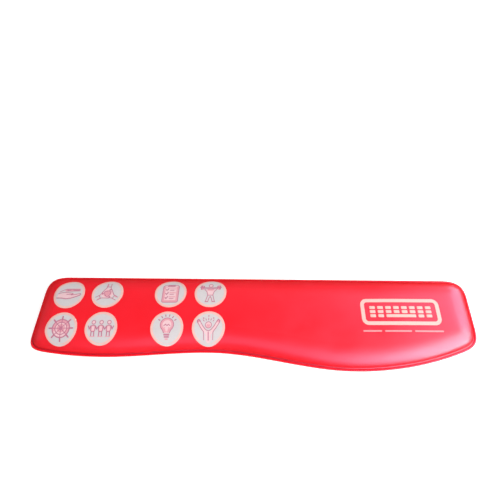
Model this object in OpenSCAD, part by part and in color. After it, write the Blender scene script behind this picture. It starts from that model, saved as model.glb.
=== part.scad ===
// Keyboard wrist rest: a long, low gel pad with a straight back edge, a wavy front edge and
// eight printed roundels, built up in layers on a non-slip base sheet.
// Millimetres. The origin is at the centre of the underside. +X runs along the pad to the right,
// +Y points away from the user, towards the keyboard, and +Z is up.

/* [Outline] */
// Length of the pad from end to end
pad_length = 466.6; // [455:0.2:485]
// Distance from the origin back to the straight edge that meets the keyboard
back_edge = 51.6; // [50:0.1:56]
// Where along the pad the left bulge reaches furthest forward
left_bulge_x = -155.5; // [-170:0.5:-130]
// How far forward the left bulge reaches
left_bulge_y = 41.5; // [40:0.1:46]
// Radius of the front edge to the left of the left bulge
left_arc_r = 420; // [300:10:600]
// Where along the pad the hollow between the bulges lies
hollow_x = -40.5; // [-70:0.5:-10]
// How far forward the edge is at the hollow
hollow_y = 35.1; // [33:0.1:40]
// Where along the pad the right bulge reaches furthest forward
right_bulge_x = 104.5; // [90:0.5:120]
// How far forward the right bulge reaches
right_bulge_y = 51.6; // [46:0.1:54]
// Radius of the front edge to the right of the right bulge
right_arc_r = 300; // [260:10:450]
// Squareness of the two front corners: 2 is an ellipse, more is squarer
front_corner_power = 5; // [2:0.1:6]
// Squareness of the two back corners
back_corner_power = 3.1; // [2:0.1:4]

/* [Dome] */
// Height of the cover above the desk at the middle of the crest
pad_height = 18.5; // [17:0.5:24]
// Distance behind the origin of the line where the pad is highest
crest_y = 12; // [4:1:18]
// How much lower the top is at crown_reach in front of or behind the crest
crown_drop = 2.5; // [0:0.1:4]
// Distance from the crest at which the top has dropped by crown_drop
crown_reach = 34; // [30:1:50]
// How much lower the top line lies at the ends than in the middle
length_drop = 1.8; // [0:0.1:2]
// How far in from the front edge the roll of the edge reaches
front_roll = 25; // [18:1:28]
// How far in from each end the roll of the end reaches
end_roll = 26.7; // [18:0.1:32]
// How far in from the back edge the roll of the back reaches
back_roll = 23.9; // [14:0.1:26]
// Fullness of the roll: 2 is an ellipse, more is fuller
roll_power = 2.05; // [1.8:0.05:3]

/* [Layers] */
// Thickness of the non-slip base sheet
base_t = 1.2; // [0.8:0.1:1.5]
// How far the base sheet stands back from the cover's edge
base_inset = 0.8; // [0.3:0.1:1.5]
// Thickness of the adhesive sheets
adhesive_t = 0.1; // [0.05:0.05:0.2]
// Thickness of the stiffener board
board_t = 1.2; // [0.8:0.1:1.6]
// Height of the foam core
foam_t = 5; // [4:0.1:5.5]
// Thickness of the film under the gel
lower_film_t = 0.2; // [0.1:0.05:0.3]
// Thickness of the film over the gel
upper_film_t = 0.3; // [0.2:0.05:0.4]
// Thickness of the cover
cover_t = 0.8; // [0.6:0.1:1]
// Width of the cover's flat flange round the foot of the dome
flange_w = 3.3; // [1.8:0.1:3.6]

/* [Prints] */
// Diameter of a roundel, seen from above
roundel_d = 34; // [30:0.5:36]
// Place of the row of roundels nearer the keyboard
back_row_y = 26; // [24:0.1:27]
// Place of the row of roundels nearer the user
front_row_y = -12.8; // [-14:0.1:-12]
// How far the whole print is turned on the pad, in degrees
print_turn = 1; // [0:0.1:1.5]
// Thickness of the printed film
print_t = 0.12; // [0.08:0.01:0.2]
// Width of the keyboard sign at the right end
sign_w = 80.5; // [70:0.5:84]
// Depth of the keyboard sign
sign_d = 28.8; // [27:0.1:32]
// Place of the sign's centre along the pad
sign_x = 154.5; // [150:0.5:158]

/* [Hidden] */

// Clearance between neighbouring soft layers, and under the prints
layer_gap = 0.1;
print_gap = 0.15;

// Levels of the layers above the desk
adhesive_z = base_t;
board_z = adhesive_z + adhesive_t;
foam_film_z = board_z + board_t;
foam_z = foam_film_z + adhesive_t;
lower_film_z = foam_z + foam_t;
gel_z = lower_film_z + lower_film_t;
// Upright rims at the foot of the gel and of the foam
gel_rim_h = 0.3;
foam_rim_h = 0.4;
flange_z = board_z + cover_t;

// How far the flat layers stand in from the pad's edge, with a margin of their own
adhesive_margin = 0.3;
board_margin = 0.5;
foam_margin = 1.2;
adhesive_inset = base_inset + adhesive_margin;
board_inset = flange_w + cover_t + board_margin;
foam_inset = flange_w + cover_t + foam_margin;

// The crown, which the rolls of the four edges surround
top_x = pad_length / 2 - end_roll;
top_back = back_edge - back_roll;
columns = 36;
rows = 5;
corner_steps = 6;

// Rings up the roll of the cover, up the shorter roll round the gel and up the foam's side
cover_rings = 10;
gel_rings = 6;
foam_rings = 4;

// Columns of roundels, from left to right
roundel_x = [-197.1, -154.7, -85.9, -42.9];
roundel_sides = 36;
roundel_rings = 6;

// The keyboard sign: a frame, rows of keys, a row with a space bar, and a rule in parts under it
sign_y = 3.5;
sign_line = 3.8;
sign_corner_r = 5;
sign_corner_steps = 4;
key_margin = 2 * sign_line;
key_columns = 8;
key_rows = 3;
key_fill = 0.7;
space_keys = 4;
rule_y = -17;
rule_w = 1.6;
rule_gap = 3;
rule_parts = [0.27, 0.37, 0.36];

red = "#f22a3c";
white = "#e6e2e0";

// Half the distance over which slopes are measured
step = 0.1;

function mix(a, b, t) = a + (b - a) * t;
function ease(t) = t * t * (3 - 2 * t);
function arc_rise(dx, r) = r - sqrt(r * r - dx * dx);

// The front edge: an arc, two eased waves and another arc
function front_y(x) =
    x < left_bulge_x ? arc_rise(x - left_bulge_x, left_arc_r) - left_bulge_y
    : x < hollow_x ? wave(x, left_bulge_x, hollow_x, -left_bulge_y, -hollow_y)
    : x < right_bulge_x ? wave(x, hollow_x, right_bulge_x, -hollow_y, -right_bulge_y)
    : arc_rise(x - right_bulge_x, right_arc_r) - right_bulge_y;
function wave(x, x0, x1, y0, y1) = mix(y0, y1, ease((x - x0) / (x1 - x0)));
function front_slope(x) = (front_y(x + step) - front_y(x - step)) / (2 * step);
// A distance square to the front edge, measured along Y instead
function along_y(distance, x) = distance * norm([1, front_slope(x)]);
function top_front(x) = front_y(x) + along_y(front_roll, x);

// Height of the cover's gently crowned top
function crown_z(x, y) = pad_height - crown_drop * pow((y - crest_y) / crown_reach, 2)
    - length_drop * pow(2 * x / pad_length, 2);

// Stations round the pad, anticlockwise from the left end of the front edge. Each is
// [x of the crown there, 0 at its front to 1 at its back, share along X, share along Y],
// and the shares say which way the roll leaves the crown.
function corner(k, power) = let (a = 90 * k / corner_steps)
    [pow(cos(a), 2 / power), pow(sin(a), 2 / power)];
column_x = [for (i = [0:columns]) mix(-top_x, top_x, i / columns)];
stations = [
    for (x = column_x) [x, 0, 0, -1],
    for (k = [1:corner_steps - 1]) let (c = corner(k, front_corner_power)) [top_x, 0, c[1], -c[0]],
    for (r = [0:rows]) [top_x, r / rows, 1, 0],
    for (k = [1:corner_steps - 1]) let (c = corner(k, back_corner_power)) [top_x, 1, c[0], c[1]],
    for (i = [columns:-1:0]) [column_x[i], 1, 0, 1],
    for (k = [1:corner_steps - 1]) let (c = corner(k, back_corner_power)) [-top_x, 1, -c[1], c[0]],
    for (r = [rows:-1:0]) [-top_x, r / rows, -1, 0],
    for (k = [1:corner_steps - 1]) let (c = corner(k, front_corner_power)) [-top_x, 0, -c[0], -c[1]]
];
station_count = len(stations);
grid_count = (columns + 1) * (rows + 1);

// The point of a station at a share of the roll: 1 at its foot, inset from the edge, and 0 where
// the crown starts
function spot(station, share, inset) =
    let (x = station[0] + (end_roll - inset) * station[2] * share,
         roll = station[3] < 0 ? along_y(front_roll - inset, x) : back_roll - inset)
    [x, mix(top_front(x), top_back, station[1]) + roll * station[3] * share];
function outline(inset) = [for (s = stations) spot(s, 1, inset)];

// A layer's upper surface is [inset of its foot, level of its foot, depth under the cover's top,
// level at which the surface ends]. It rises along the roll by a superellipse, from an angle of
// 90 at the foot to 0 at the crown. The angle at its end is worked out close to the pad's edge.
edge_share = 0.9;
function end_angle(station, layer) =
    let (p = spot(station, edge_share, layer[0]), top = crown_z(p.x, p.y) - layer[2])
    acos(pow((layer[3] - layer[1]) / (top - layer[1]), roll_power / 2));
function ring_point(station, layer, angle) =
    let (p = spot(station, pow(sin(angle), 2 / roll_power), layer[0]),
         rise = pow(cos(angle), 2 / roll_power))
    [p.x, p.y, mix(layer[1], crown_z(p.x, p.y) - layer[2], rise)];
// A ring over a layer's end, from 0 at its level to 1 at the crown
function ring(layer, up) = [for (s = stations)
    let (p = ring_point(s, layer, end_angle(s, layer) * (1 - up)))
    up == 0 ? [p.x, p.y, layer[3]] : p];
// A ring under a layer's end, from 0 at its foot to 1 at its level
function wall_ring(layer, up) = [for (s = stations)
    let (p = ring_point(s, layer, mix(90, end_angle(s, layer), up)))
    up == 1 ? [p.x, p.y, layer[3]] : p];
function grid(depth) = [for (x = column_x) for (r = [0:rows])
    let (y = mix(top_front(x), top_back, r / rows)) [x, y, crown_z(x, y) - depth]];
function flat_grid(z) = [for (p = grid(0)) [p.x, p.y, z]];
function raised(points, z) = [for (p = points) [p.x, p.y, z]];

// A surface is [rings from the edge inwards, grid of the crown]
function dome(layer, rings) =
    [[for (k = [0:rings - 1]) ring(layer, k / rings)], grid(layer[2])];
function floor_of(edge, z) = [[raised(edge, z)], flat_grid(z)];

function flat(lists) = [for (list = lists) each list];
function flipped(faces) = [for (f = faces) [f[2], f[1], f[0]]];
function next(j, count) = (j + 1) % count;
function strip(a, b, count) = flat([for (j = [0:count - 1]) let (k = next(j, count))
    [[a + j, b + j, b + k], [a + j, b + k, a + k]]]);
function grid_index(s) =
    round((s[0] + top_x) / (2 * top_x) * columns) * (rows + 1) + round(s[1] * rows);
function inner_strip(a, g) = flat([for (j = [0:station_count - 1])
    let (k = next(j, station_count),
         u = g + grid_index(stations[j]),
         v = g + grid_index(stations[k]))
    [if (u != v) [a + j, u, v], [a + j, v, a + k]]]);
function grid_faces(g) = flat([for (i = [0:columns - 1]) for (r = [0:rows - 1])
    let (a = g + i * (rows + 1) + r, b = a + rows + 1)
    [[a, a + 1, b + 1], [a, b + 1, b]]]);
function surface_faces(start, rings) = let (grid_start = start + rings * station_count) concat(
    flat([for (k = [0:1:rings - 2])
        strip(start + k * station_count, start + (k + 1) * station_count, station_count)]),
    inner_strip(grid_start - station_count, grid_start),
    grid_faces(grid_start));

// The closed solid between an upper and a lower surface, joined round their first rings
module between(upper, lower) {
    lower_start = len(upper[0]) * station_count + grid_count;
    polyhedron(
        concat(flat(upper[0]), upper[1], flat(lower[0]), lower[1]),
        concat(
            surface_faces(0, len(upper[0])),
            flipped(surface_faces(lower_start, len(lower[0]))),
            flipped(strip(0, lower_start, station_count))));
}

module sheet(edge, z, thickness) {
    translate([0, 0, z]) linear_extrude(thickness) polygon([for (p = edge) [p.x, p.y]]);
}

// Height of the cover's outer surface at any place on the dome
function cover_z(x, y) =
    let (front = (top_front(x) - y) / along_y(front_roll - flange_w, x),
         back = (y - top_back) / (back_roll - flange_w),
         side = max(0, (abs(x) - top_x) / (end_roll - flange_w)),
         power = front > back ? front_corner_power : back_corner_power,
         share = pow(pow(max(front, back, 0), power) + pow(side, power), 1 / power),
         rise = pow(1 - pow(min(share, 1), roll_power), 1 / roll_power))
    mix(flange_z, crown_z(x, y), rise);
// The same places raised square to the cover's surface by a lift
function slope_x(x, y) = (cover_z(x + step, y) - cover_z(x - step, y)) / (2 * step);
function slope_y(x, y) = (cover_z(x, y + step) - cover_z(x, y - step)) / (2 * step);
function laid(points, lift) = [for (p = points)
    [p.x, p.y, cover_z(p.x, p.y) + lift * norm([1, slope_x(p.x, p.y), slope_y(p.x, p.y)])]];
// A place of the artwork, turned with the print
function placed(p) = [p.x * cos(print_turn) - p.y * sin(print_turn),
    p.x * sin(print_turn) + p.y * cos(print_turn)];

// A round print laid over the dome
module roundel(x, y) {
    middle = placed([x, y]);
    ring_points = [for (k = [1:roundel_rings]) for (j = [0:roundel_sides - 1])
        let (r = roundel_d / 2 * k / roundel_rings, a = 360 * j / roundel_sides)
        middle + r * [cos(a), sin(a)]];
    points = concat(ring_points, [middle]);
    centre = len(points) - 1;
    edge = (roundel_rings - 1) * roundel_sides;
    top_faces = concat(
        flat([for (k = [1:1:roundel_rings - 1])
            strip(k * roundel_sides, (k - 1) * roundel_sides, roundel_sides)]),
        [for (j = [0:roundel_sides - 1]) [centre, next(j, roundel_sides), j]]);
    lower = len(points);
    lower_faces = [for (f = flipped(top_faces)) [for (i = f) i + lower]];
    polyhedron(
        concat(laid(points, print_gap + print_t), laid(points, print_gap)),
        concat(top_faces, lower_faces, flipped(strip(edge, lower + edge, roundel_sides))));
}

// A printed line of one width along a path laid over the dome
function side_points(path, offset, closed) = [for (i = [0:len(path) - 1])
    let (last = len(path) - 1,
         before = i > 0 ? path[i - 1] : closed ? path[last] : path[0],
         after = i < last ? path[i + 1] : closed ? path[0] : path[last],
         way = (after - before) / norm(after - before))
    path[i] + offset * [-way.y, way.x]];
module line(path, width, closed = false) {
    count = len(path);
    left = [for (p = side_points(path, width / 2, closed)) placed(p)];
    right = [for (p = side_points(path, -width / 2, closed)) placed(p)];
    lift = print_gap + print_t;
    // four runs of points: left above, right above, right below, left below
    points = concat(laid(left, lift), laid(right, lift), laid(right, print_gap), laid(left, print_gap));
    spans = closed ? count : count - 1;
    sides = flat([for (q = [0:3]) for (i = [0:spans - 1])
        let (a = q * count, b = next(q, 4) * count, k = next(i, count))
        [[a + i, a + k, b + k], [a + i, b + k, b + i]]]);
    ends = closed ? [] : [for (e = [[0, 1, 2, 3], [3, 2, 1, 0]]) let (i = e[0] == 0 ? 0 : count - 1)
        [for (q = e) q * count + i]];
    polyhedron(points, concat(sides, ends));
}

module base_sheet() {
    color("#2b2b2e") sheet(outline(base_inset), 0, base_t);
}

module base_adhesive_sheet() {
    color("#d9d6cf") sheet(outline(adhesive_inset), adhesive_z, adhesive_t);
}

module stiffener_board() {
    color("#8f877a") sheet(outline(board_inset), board_z, board_t);
}

module foam_adhesive_film() {
    color("#e8e4d8") sheet(outline(foam_inset), foam_film_z, adhesive_t);
}

// The foam fills the foot of the dome, and its side follows the cover's inner surface
module foam_core() {
    depth = cover_t + upper_film_t + layer_gap;
    layer = [foam_inset, foam_z + foam_rim_h, depth, foam_z + foam_t];
    wall = [for (k = [0:foam_rings - 1]) wall_ring(layer, k / (foam_rings - 1))];
    color("#efe9c9") between([wall, flat_grid(foam_z + foam_t)], floor_of(wall[0], foam_z));
}

// The cover's inner surface, and the surfaces of the gel's envelope under it
function inner_layer(depth, level) = [flange_w + depth, board_z, depth, level];
film_outer = inner_layer(cover_t + layer_gap, gel_z);
film_inner = inner_layer(cover_t + layer_gap + upper_film_t, gel_z);
gel_top = inner_layer(cover_t + upper_film_t + 2 * layer_gap, gel_z + gel_rim_h);

module gel_lower_film() {
    color("#cfe3ea") sheet(ring(film_outer, 0), lower_film_z, lower_film_t);
}

module gel_core() {
    color("#a9d4e6") between(dome(gel_top, gel_rings), floor_of(ring(gel_top, 0), gel_z));
}

module gel_upper_film() {
    color("#cfe3ea") between(dome(film_outer, gel_rings), dome(film_inner, gel_rings));
}

module cover_skin() {
    rolled = dome([flange_w, flange_z, 0, flange_z], cover_rings);
    flange = [raised(outline(0), board_z), raised(outline(0), flange_z)];
    color(red) between(
        [concat(flange, rolled[0]), rolled[1]],
        dome(inner_layer(cover_t, board_z), cover_rings));
}

module roundel_open_hand() {
    color(white) roundel(roundel_x[0], back_row_y);
}

module roundel_joined_hands() {
    color(white) roundel(roundel_x[1], back_row_y);
}

module roundel_checklist() {
    color(white) roundel(roundel_x[2], back_row_y);
}

module roundel_barbell() {
    color(white) roundel(roundel_x[3], back_row_y);
}

module roundel_helm_wheel() {
    color(white) roundel(roundel_x[0], front_row_y);
}

module roundel_people_row() {
    color(white) roundel(roundel_x[1], front_row_y);
}

module roundel_light_bulb() {
    color(white) roundel(roundel_x[2], front_row_y);
}

module roundel_raised_hands() {
    color(white) roundel(roundel_x[3], front_row_y);
}

// The sign's frame, a rounded rectangle walked anticlockwise
module sign_frame() {
    half = [sign_w, sign_d] / 2 - [1, 1] * sign_line / 2;
    hub = half - [1, 1] * sign_corner_r;
    // each corner as [side along X, side along Y, angle at which its arc starts, points after it]
    corners = [[1, -1, -90, 2], [1, 1, 0, 7], [-1, 1, 90, 2], [-1, -1, 180, 7]];
    path = flat([for (c = [0:3])
        let (turn = corners[c], following = corners[next(c, 4)],
             centre = [turn[0] * hub.x, turn[1] * hub.y],
             arc = [for (k = [0:sign_corner_steps]) let (a = turn[2] + 90 * k / sign_corner_steps)
                 centre + sign_corner_r * [cos(a), sin(a)]],
             start = [following[0] * hub.x, following[1] * hub.y]
                 + sign_corner_r * [cos(following[2]), sin(following[2])],
             count = turn[3])
        concat(arc, [for (i = [1:count]) mix(arc[sign_corner_steps], start, i / (count + 1))])]);
    line([for (p = path) p + [sign_x, sign_y]], sign_line, closed = true);
}

// One key or bar of the sign, from column a to column b of row r
module sign_key(a, b, r) {
    inner = [sign_w, sign_d] - 2 * [key_margin, key_margin];
    pitch = [inner.x / key_columns, inner.y / key_rows];
    x0 = sign_x - inner.x / 2 + (a + (1 - key_fill) / 2) * pitch.x;
    x1 = sign_x - inner.x / 2 + (b + (1 + key_fill) / 2) * pitch.x;
    y = sign_y - inner.y / 2 + (r + 0.5) * pitch.y;
    line([[x0, y], [(x0 + x1) / 2, y], [x1, y]], pitch.y * key_fill);
}

module end_sign() {
    color(white) {
        sign_frame();
        for (r = [1:key_rows - 1]) for (c = [0:key_columns - 1]) sign_key(c, c, r);
        first = (key_columns - space_keys) / 2;
        for (c = [0:first - 1]) {
            sign_key(c, c, 0);
            sign_key(key_columns - 1 - c, key_columns - 1 - c, 0);
        }
        sign_key(first, first + space_keys - 1, 0);
        starts = [0, rule_parts[0], rule_parts[0] + rule_parts[1]];
        for (i = [0:2]) {
            x0 = sign_x - sign_w / 2 + sign_w * starts[i];
            x1 = x0 + sign_w * rule_parts[i] - (i < 2 ? rule_gap : 0);
            line([for (t = [0:0.25:1]) [mix(x0, x1, t), rule_y]], rule_w);
        }
    }
}

base_sheet();
base_adhesive_sheet();
stiffener_board();
foam_adhesive_film();
foam_core();
gel_lower_film();
gel_core();
gel_upper_film();
cover_skin();
roundel_open_hand();
roundel_joined_hands();
roundel_checklist();
roundel_barbell();
roundel_helm_wheel();
roundel_people_row();
roundel_light_bulb();
roundel_raised_hands();
end_sign();
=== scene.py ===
import math

import bpy
import numpy as np
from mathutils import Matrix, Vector
from mathutils.bvhtree import BVHTree


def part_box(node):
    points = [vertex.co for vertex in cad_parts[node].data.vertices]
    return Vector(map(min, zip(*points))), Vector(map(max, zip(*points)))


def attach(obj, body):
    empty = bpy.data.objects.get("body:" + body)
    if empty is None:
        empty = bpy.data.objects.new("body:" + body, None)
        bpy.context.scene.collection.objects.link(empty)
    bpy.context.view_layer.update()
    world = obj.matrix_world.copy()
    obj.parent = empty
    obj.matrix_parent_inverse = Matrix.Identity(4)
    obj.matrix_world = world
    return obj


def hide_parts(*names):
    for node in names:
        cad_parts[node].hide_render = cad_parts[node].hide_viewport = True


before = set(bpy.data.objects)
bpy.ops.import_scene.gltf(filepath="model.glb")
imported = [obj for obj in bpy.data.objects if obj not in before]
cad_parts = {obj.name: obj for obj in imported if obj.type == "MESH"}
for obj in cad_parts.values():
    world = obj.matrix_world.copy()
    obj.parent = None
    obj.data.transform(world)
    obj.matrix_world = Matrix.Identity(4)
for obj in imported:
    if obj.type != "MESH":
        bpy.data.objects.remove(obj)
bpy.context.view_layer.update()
scene = bpy.context.scene

# ---- sizes, in millimetres
# What a part's box gives is read from model.glb. The rest repeats the CAD's driving dimensions.
MM = 0.001


def box_mm(node):
    low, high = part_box(node)
    return np.array(low) / MM, np.array(high) / MM


COVER_LOW, COVER_HIGH = box_mm("cover_skin")
PAD_LENGTH = COVER_HIGH[0] - COVER_LOW[0]
BACK_EDGE = COVER_HIGH[1]
LEFT_BULGE_X, LEFT_BULGE_Y, LEFT_ARC_R = -155.5, 41.5, 420
HOLLOW_X, HOLLOW_Y = -40.5, 35.1
RIGHT_BULGE_X, RIGHT_BULGE_Y, RIGHT_ARC_R = 104.5, -COVER_LOW[1], 300
FRONT_CORNER_POWER, BACK_CORNER_POWER = 5, 3.1

PAD_HEIGHT, CREST_Y = 18.5, 12
CROWN_DROP, CROWN_REACH, LENGTH_DROP = 2.5, 34, 1.8
FRONT_ROLL, END_ROLL, BACK_ROLL = 25, 26.7, 23.9
ROLL_POWER = 2.05
TOP_X = PAD_LENGTH / 2 - END_ROLL
TOP_BACK = BACK_EDGE - BACK_ROLL

COVER_T, FLANGE_W = 0.8, 3.3
COVER_FOOT = COVER_LOW[2]
FLANGE_Z = COVER_FOOT + COVER_T
GROOVE_W, GROOVE_D, BEAD_RISE = 1.6, 0.5, 0.3
# How much of the weld groove's painted shade the first rings above it still have
FOOT_SHADE = [0.8, 0.55, 0.3, 0.15]
BASE_INSET = 0.8
BASE_TOP = box_mm("base_sheet")[1][2]
FOAM_Z = box_mm("foam_core")[0][2]
FOAM_TOP = box_mm("foam_core")[1][2]
GEL_Z = box_mm("gel_core")[0][2]
FILM_T, LAYER_GAP = 0.3, 0.1

PRINT_TURN = math.radians(1)
PRINT_GAP, PRINT_T = 0.02, 0.12
RING_W = 2.2
# How far ink stands above a film and reaches into it, and how much higher a darker ink and a later
# mark lie, so that no two surfaces meet
INK_T, INK_ROOT, INK_STEP, OVERLAP_STEP = 0.018, 0.04, 0.012, 0.0005

# Columns, rows and corner steps of the crown, and rings up the roll, before a detail factor
COLUMNS, ROWS, CORNER_STEPS, ROLL_RINGS = 80, 12, 8, 14
COVER_DETAIL = 3


# ---- the pad's surface
def arc_rise(dx, radius):
    return radius - np.sqrt(radius**2 - np.minimum(np.abs(dx), radius) ** 2)


def wave(x, x0, x1, y0, y1):
    t = np.clip((x - x0) / (x1 - x0), 0, 1)
    return y0 + (y1 - y0) * t * t * (3 - 2 * t)


def front_y(x):
    """The front edge: an arc, two eased waves and another arc."""
    return np.select(
        [x < LEFT_BULGE_X, x < HOLLOW_X, x < RIGHT_BULGE_X],
        [
            arc_rise(x - LEFT_BULGE_X, LEFT_ARC_R) - LEFT_BULGE_Y,
            wave(x, LEFT_BULGE_X, HOLLOW_X, -LEFT_BULGE_Y, -HOLLOW_Y),
            wave(x, HOLLOW_X, RIGHT_BULGE_X, -HOLLOW_Y, -RIGHT_BULGE_Y),
        ],
        arc_rise(x - RIGHT_BULGE_X, RIGHT_ARC_R) - RIGHT_BULGE_Y,
    )


def along_y(distance, x):
    """A distance square to the front edge, measured along Y instead."""
    return distance * np.hypot(1, front_y(x + 0.5) - front_y(x - 0.5))


def top_front(x):
    return front_y(x) + along_y(FRONT_ROLL, x)


def crown_z(x, y):
    drop = CROWN_DROP * ((y - CREST_Y) / CROWN_REACH) ** 2
    return PAD_HEIGHT - drop - LENGTH_DROP * (2 * x / PAD_LENGTH) ** 2


def corner(steps, power):
    """A quarter of a superellipse, evenly spread by angle."""
    turn = np.linspace(0, math.pi / 2, steps + 1)[1:-1]
    reach = (np.cos(turn) ** power + np.sin(turn) ** power) ** (-1 / power)
    return np.cos(turn) * reach, np.sin(turn) * reach


def stations(detail):
    """Places round the crown, anticlockwise from the left end of its front: x, 0 at its front to
    1 at its back, and the way out of it along X and along Y."""
    across = np.linspace(-TOP_X, TOP_X, COLUMNS * detail + 1)
    deep = np.linspace(0, 1, ROWS * detail + 1)
    front = corner(CORNER_STEPS * detail, FRONT_CORNER_POWER)
    back = corner(CORNER_STEPS * detail, BACK_CORNER_POWER)
    runs = [
        (across, 0, 0, -1),
        (TOP_X, 0, front[1], -front[0]),
        (TOP_X, deep, 1, 0),
        (TOP_X, 1, back[0], back[1]),
        (across[::-1], 1, 0, 1),
        (-TOP_X, 1, -back[1], back[0]),
        (-TOP_X, deep[::-1], -1, 0),
        (-TOP_X, 0, -front[0], -front[1]),
    ]
    return np.concatenate([np.column_stack(np.broadcast_arrays(*run)) for run in runs]).astype(float)


def spots(places, share, inset):
    """Plan points of the stations at a share of the roll: 1 at its foot, 0 at the crown."""
    x = places[:, 0] + (END_ROLL - inset) * places[:, 2] * share
    roll = np.where(places[:, 3] < 0, along_y(FRONT_ROLL - inset, x), BACK_ROLL - inset)
    front = top_front(x)
    return np.column_stack([x, front + (TOP_BACK - front) * places[:, 1] + roll * places[:, 3] * share])


def with_z(plan, z):
    return np.column_stack([plan, np.broadcast_to(z, len(plan))])


def roll_ring(places, layer, angle):
    """A ring of a layer's roll, at one angle or at one for each station. The angle runs from 90
    degrees at the roll's foot to 0 at the crown."""
    inset, foot, depth = layer
    plan = spots(places, np.sin(angle) ** (2 / ROLL_POWER), inset)
    top = crown_z(plan[:, 0], plan[:, 1]) - depth
    return with_z(plan, foot + (top - foot) * np.cos(angle) ** (2 / ROLL_POWER))


def roll_rings(places, layer, count, start=math.pi / 2):
    """Rings from a layer's foot, or from a start angle, up to just before the crown."""
    return [roll_ring(places, layer, start * (1 - k / count)) for k in range(count)]


def crown_grid(detail, depth):
    x = np.linspace(-TOP_X, TOP_X, COLUMNS * detail + 1)[:, None]
    t = np.linspace(0, 1, ROWS * detail + 1)[None, :]
    front = top_front(x)
    y = front + (TOP_BACK - front) * t
    x = np.broadcast_to(x, y.shape)
    return np.stack([x, y, crown_z(x, y) - depth], axis=2)


# ---- meshes
def ring_strip(a, b, count):
    """Quads between the ring that starts at point a and the one that starts at b, further in."""
    return [(a + j, a + (j + 1) % count, b + (j + 1) % count, b + j) for j in range(count)]


def border_indices(detail):
    """The crown grid's border points, in the stations' order."""
    columns, rows = COLUMNS * detail, ROWS * detail
    steps = CORNER_STEPS * detail - 1

    def at(column, row):
        return column * (rows + 1) + row

    order = [at(i, 0) for i in range(columns + 1)] + [at(columns, 0)] * steps
    order += [at(columns, r) for r in range(rows + 1)] + [at(columns, rows)] * steps
    order += [at(i, rows) for i in range(columns, -1, -1)] + [at(0, rows)] * steps
    order += [at(0, r) for r in range(rows, -1, -1)] + [at(0, 0)] * steps
    return order


def surface(rings, grid, detail):
    """Points and faces of a surface made of rings from the edge inwards and the crown's grid."""
    count = len(rings[0])
    points = np.concatenate(list(rings) + [grid.reshape(-1, 3)])
    faces = []
    for k in range(len(rings) - 1):
        faces += ring_strip(k * count, (k + 1) * count, count)
    start = len(rings) * count
    border = [start + index for index in border_indices(detail)]
    last = start - count
    for j in range(count):
        k = (j + 1) % count
        ends = [border[k], border[j]] if border[k] != border[j] else [border[j]]
        faces.append((last + j, last + k, *ends))
    rows = ROWS * detail
    for i in range(COLUMNS * detail):
        for r in range(rows):
            a = start + i * (rows + 1) + r
            faces.append((a, a + rows + 1, a + rows + 2, a + 1))
    return points, faces


def shell(upper, lower, detail):
    """A closed solid between two surfaces, joined round their first rings. Returns its points and
    faces, and how many of the faces are the upper surface's."""
    points, faces = surface(*upper, detail)
    low_points, low_faces = surface(*lower, detail)
    start, count = len(points), len(upper[0][0])
    closed = [tuple(start + i for i in reversed(face)) for face in low_faces]
    joint = [face[::-1] for face in ring_strip(0, start, count)]
    return np.concatenate([points, low_points]), faces + closed + joint, len(faces)


SHARP_ANGLE = math.radians(40)


def new_object(name, data):
    """An object of the scene with this data."""
    made = bpy.data.objects.new(name, data)
    scene.collection.objects.link(made)
    return made


def make_piece(name, points, faces, materials, slot, replaced=None, picks=None):
    """A smooth mesh object that rides on the pad. Points are in millimetres."""
    mesh = bpy.data.meshes.new(name)
    mesh.from_pydata((np.asarray(points) * MM).tolist(), [], faces)
    mesh.polygons.foreach_set("use_smooth", [True] * len(mesh.polygons))
    for material in materials:
        mesh.materials.append(material)
    if picks is not None:
        mesh.polygons.foreach_set("material_index", picks)
    mesh.update()
    mesh.set_sharp_from_angle(angle=SHARP_ANGLE)
    piece = new_object(name, mesh)
    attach(piece, "root")
    if replaced:
        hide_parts(replaced)
    return piece


def point_values(piece, name, values):
    """Stores one number, or one vector, for each point of a piece for its material to read."""
    values = np.asarray(values, float)
    kind, key = ("FLOAT", "value") if values.ndim == 1 else ("FLOAT_VECTOR", "vector")
    piece.data.attributes.new(name, kind, "POINT").data.foreach_set(key, values.ravel())


# ---- material helpers
def put(tree, socket, value):
    """Links a socket to an input, or sets the input to any other value."""
    if isinstance(value, bpy.types.NodeSocket):
        tree.links.new(value, socket)
    else:
        socket.default_value = value


def add(tree, kind, inputs=None, **settings):
    """A shader node with these inputs and settings."""
    made = tree.nodes.new("ShaderNode" + kind)
    for name, value in settings.items():
        setattr(made, name, value)
    for key, value in (inputs or {}).items():
        put(tree, made.inputs[key], value)
    return made


def calc(tree, operation, a, b=0.0):
    return add(tree, "Math", {0: a, 1: b}, operation=operation).outputs[0]


def make_material(name, recipe, *values):
    """A material with a Principled shader. The recipe adds nodes to its tree and returns the
    shader's inputs, named with _ for each space."""
    material = bpy.data.materials.new(name)
    material.use_nodes = True
    tree = material.node_tree
    tree.nodes.clear()
    shader = add(tree, "BsdfPrincipled")
    add(tree, "OutputMaterial", {"Surface": shader.outputs[0]})
    for key, value in recipe(tree, *values).items():
        put(tree, shader.inputs[key.replace("_", " ")], value)
    return material


def place_mm(tree):
    """Object coordinates in millimetres."""
    place = add(tree, "TexCoord").outputs["Object"]
    return add(tree, "VectorMath", {0: place, 1: (1 / MM,) * 3}, operation="MULTIPLY").outputs[0]


def cloth_mm(tree):
    """Coordinates in millimetres along a sheet that is bent over the pad."""
    return add(tree, "Attribute", attribute_name="cloth").outputs["Vector"]


def noise(tree, place, period, detail=3.0, rough=0.5):
    """Noise whose features are about a period wide, in millimetres."""
    inputs = {"Vector": place, "Scale": 1 / period, "Detail": detail, "Roughness": rough}
    return add(tree, "TexNoise", inputs).outputs["Fac"]


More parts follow.
